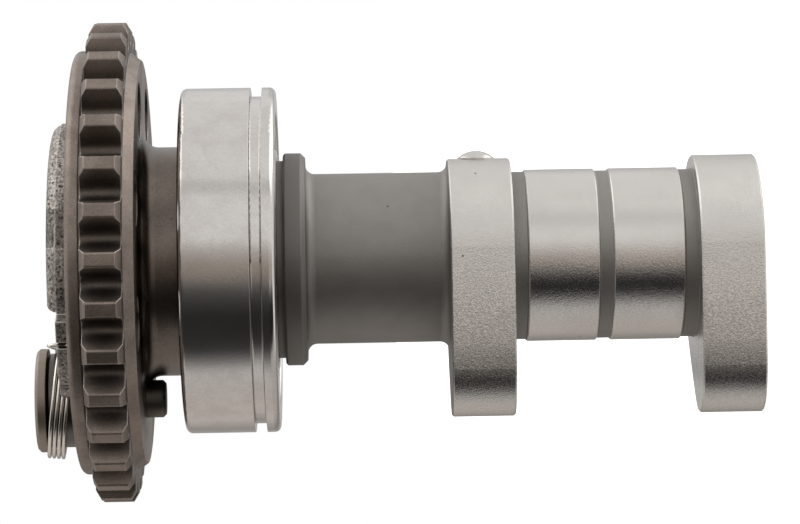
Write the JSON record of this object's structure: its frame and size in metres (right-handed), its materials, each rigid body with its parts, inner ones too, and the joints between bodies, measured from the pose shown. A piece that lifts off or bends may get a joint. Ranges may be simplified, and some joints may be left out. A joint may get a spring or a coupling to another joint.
{
  "type": "camshaft",
  "caption": "Short two-lobe engine camshaft with chain sprocket, ball bearing and centrifugal decompression weight, spring and plunger.",
  "frame": {"origin": "on the camshaft's axis, in the plane of the second lobe's flat end face that it stands on", "axes": "+Z along the camshaft's axis from the free end to the sprocket; +X the side the decompression plunger stands out of; the weight lies on the -Y side"},
  "size_m": [0.0612, 0.0612, 0.0918],
  "materials": {
    "ground_steel": "satin ground steel on lobes and journals, matt dark grey on the tube",
    "sprocket_steel": "dark brownish grey hardened sintered steel, satin",
    "bearing_steel": "fine ground and polished",
    "ball_steel": "polished",
    "cage_steel": "pressed sheet, satin",
    "sintered_steel": "grainy sintered surface",
    "pin_steel": "turned, brownish grey",
    "bush_steel": "turned, grey",
    "spring_wire": "drawn wire, bright",
    "shaft_steel": "ground"
  },
  "bodies": {
    "camshaft": {"camshaft_body": "ground_steel", "timing_sprocket": "sprocket_steel", "bearing_inner_ring": "bearing_steel", "weight_pivot_pin": "pin_steel", "pivot_bush": "bush_steel", "weight_stop_pin": "shaft_steel", "weight_spring": "spring_wire"},
    "outer_ring": {"bearing_outer_ring": "bearing_steel"},
    "ball_cage": {"bearing_balls": "ball_steel", "cage_half_lower": "cage_steel", "cage_half_upper": "cage_steel", "cage_rivets": "cage_steel"},
    "weight": {"decompression_weight": "sintered_steel"},
    "release": {"release_shaft": "shaft_steel", "drive_pin": "shaft_steel"},
    "plunger": {"decompression_plunger": "shaft_steel"}
  },
  "joints": [
    {"name": "bearing_spin", "type": "hinge", "parent": "camshaft", "child": "outer_ring", "pos_m": [0, 0, 0.0669], "axis": [0, 0, 1], "continuous": true},
    {"name": "cage_spin", "type": "hinge", "parent": "camshaft", "child": "ball_cage", "pos_m": [0, 0, 0.0669], "axis": [0, 0, 1], "continuous": true},
    {"name": "weight_swing", "type": "hinge", "parent": "camshaft", "child": "weight", "pos_m": [-0.0175, 0, 0.0872], "axis": [0, 0, -1], "range_deg": [0, 10], "stiffness_Nm_per_rad": 0.009, "springref_deg": -57.3, "deforming": ["weight_spring"]},
    {"name": "release_turn", "type": "hinge", "parent": "camshaft", "child": "release", "pos_m": [0, 0, 0.085], "axis": [0, 0, -1], "range_deg": [0, 43]},
    {"name": "plunger_travel", "type": "slide", "parent": "camshaft", "child": "plunger", "axis": [-1, 0, 0], "range_m": [0, 0.001]}
  ],
  "couplings": [
    {"joint": "cage_spin", "follows": "bearing_spin", "ratio": 0.5962},
    {"joint": "release_turn", "follows": "weight_swing", "ratio": 4.3},
    {"joint": "plunger_travel", "follows": "weight_swing", "m_per_rad": 0.0057296}
  ]
}
